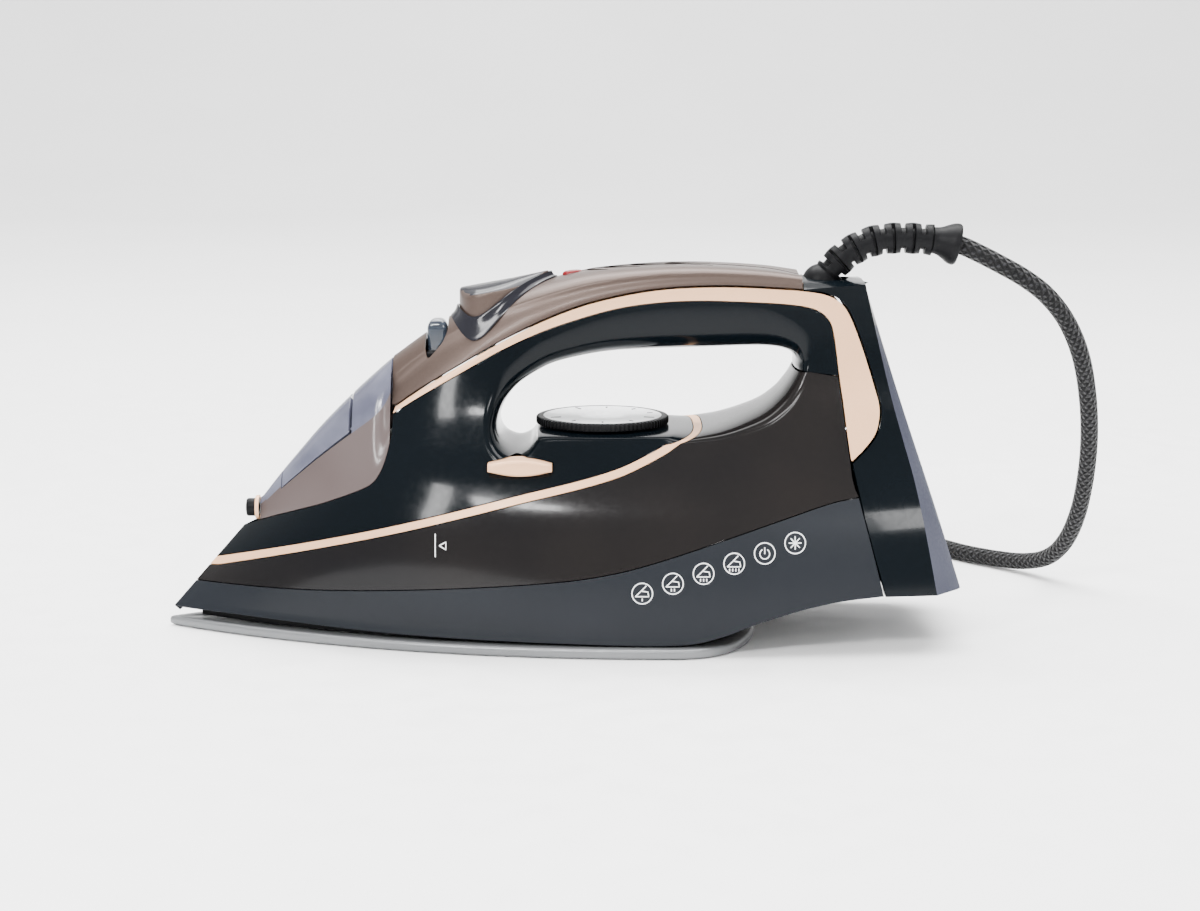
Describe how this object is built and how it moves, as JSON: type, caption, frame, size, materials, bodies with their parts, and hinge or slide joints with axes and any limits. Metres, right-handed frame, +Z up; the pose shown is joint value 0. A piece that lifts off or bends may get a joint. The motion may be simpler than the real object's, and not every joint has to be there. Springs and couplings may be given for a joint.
{
  "type": "steam iron",
  "caption": "Steam iron with a pointed soleplate, see-through water tank, closed handle, thumb buttons, temperature dial and a swivelling mains cord.",
  "frame": {"origin": "centre of the iron's own bounding box, in the plane of the sole's underside", "axes": "+Z up with the sole lying on z = 0, the nose points to -X, the heel to +X"},
  "size_m": [0.3885, 0.2704, 0.165],
  "materials": {
    "sole_metal": "satin, ceramic-coated",
    "cast_aluminium": "as cast",
    "steel": "bright",
    "silicone": "matt",
    "slate_plastic": "satin",
    "smoky_plastic": "gloss, smoky",
    "black_gloss": "high gloss",
    "black_plastic": "satin",
    "taupe_metallic": "satin metallic paint",
    "rose_gold": "satin metallic paint",
    "window_plastic": "gloss, smoky",
    "smoke_grey": "gloss, smoky",
    "blue_clear": "gloss, tinted",
    "white_plastic": "plain",
    "red_lens": "gloss, tinted",
    "board_green": "lacquered",
    "cord_textile": "braided"
  },
  "bodies": {
    "iron": {"soleplate": "sole_metal", "sole_casting": "cast_aluminium", "heating_element": "steel", "chamber_gasket": "silicone", "chamber_cover": "steel", "sole_insulator": "black_plastic", "heat_shield": "black_plastic", "thermostat": "white_plastic", "thermal_fuse": "white_plastic", "skirt": "slate_plastic", "bottom_cover": "black_plastic", "water_tank": "smoky_plastic", "body_trim": "rose_gold", "front_housing": "black_gloss", "handle_trim_left": "rose_gold", "handle_trim_right": "rose_gold", "handle_top_cover": "taupe_metallic", "nose_window": "window_plastic", "door_pin": "steel", "button_collar": "smoke_grey", "spray_pump": "white_plastic", "steam_pump": "white_plastic", "slider_bed": "black_plastic", "valve_seat": "silicone", "valve_spring": "steel", "shaft_sleeve": "smoky_plastic", "pilot_lens": "red_lens", "pilot_lamp": "white_plastic", "control_board": "board_green", "terminal_block": "white_plastic", "spray_nozzle": "black_plastic", "nozzle_base": "rose_gold", "spray_tube": "white_plastic", "fill_chute": "smoky_plastic", "rear_cover": "black_gloss", "heel_screw_left": "steel", "heel_screw_right": "steel", "cord_clamp": "white_plastic"},
    "dial": {"temperature_dial": "black_plastic", "thermostat_shaft": "steel"},
    "slider": {"steam_slider": "blue_clear"},
    "needle": {"valve_needle": "steel"},
    "spray_key": {"spray_button": "taupe_metallic", "spray_piston": "white_plastic", "spray_spring": "steel"},
    "steam_key": {"steam_button": "taupe_metallic", "steam_piston": "white_plastic", "steam_spring": "steel"},
    "self_clean_key": {"self_clean_button": "rose_gold", "self_clean_spring": "steel"},
    "door": {"fill_door": "window_plastic"},
    "cord_swivel": {"cord_ball": "black_plastic", "cord_guard": "black_plastic", "power_cord": "cord_textile", "cord_coil": "cord_textile", "cord_tail": "cord_textile", "cord_tie": "black_plastic", "plug_body": "black_plastic", "plug_pin_left": "steel", "plug_pin_right": "steel"}
  },
  "joints": [
    {"name": "dial_turn", "type": "hinge", "parent": "iron", "child": "dial", "pos_m": [0.018, 0, 0.085], "axis": [0, 0, 1], "range_deg": [0, 280]},
    {"name": "slider_travel", "type": "slide", "parent": "iron", "child": "slider", "axis": [0, 1, 0], "range_m": [-0.0045, 0.0045]},
    {"name": "needle_lift", "type": "slide", "parent": "iron", "child": "needle", "axis": [0, 0, 1], "range_m": [-0.0012, 0.0012]},
    {"name": "spray_press", "type": "slide", "parent": "iron", "child": "spray_key", "axis": [0, 0, -1], "range_m": [0, 0.003], "stiffness_N_per_m": 600, "springref_m": -0.001},
    {"name": "steam_press", "type": "slide", "parent": "iron", "child": "steam_key", "axis": [0, 0, -1], "range_m": [0, 0.003], "stiffness_N_per_m": 600, "springref_m": -0.001},
    {"name": "self_clean_press", "type": "slide", "parent": "iron", "child": "self_clean_key", "axis": [0, 1, 0], "range_m": [0, 0.0025], "stiffness_N_per_m": 500, "springref_m": -0.001},
    {"name": "door_hinge", "type": "hinge", "parent": "iron", "child": "door", "pos_m": [-0.0832, 0, 0.0949], "axis": [0, 1, 0], "range_deg": [0, 70]},
    {"name": "cord_turn", "type": "hinge", "parent": "iron", "child": "cord_swivel", "pos_m": [0.1055, 0, 0.1415], "axis": [0, 0, 1], "range_deg": [-30, 30]}
  ],
  "couplings": [
    {"joint": "needle_lift", "follows": "slider_travel", "ratio": 0.25}
  ]
}
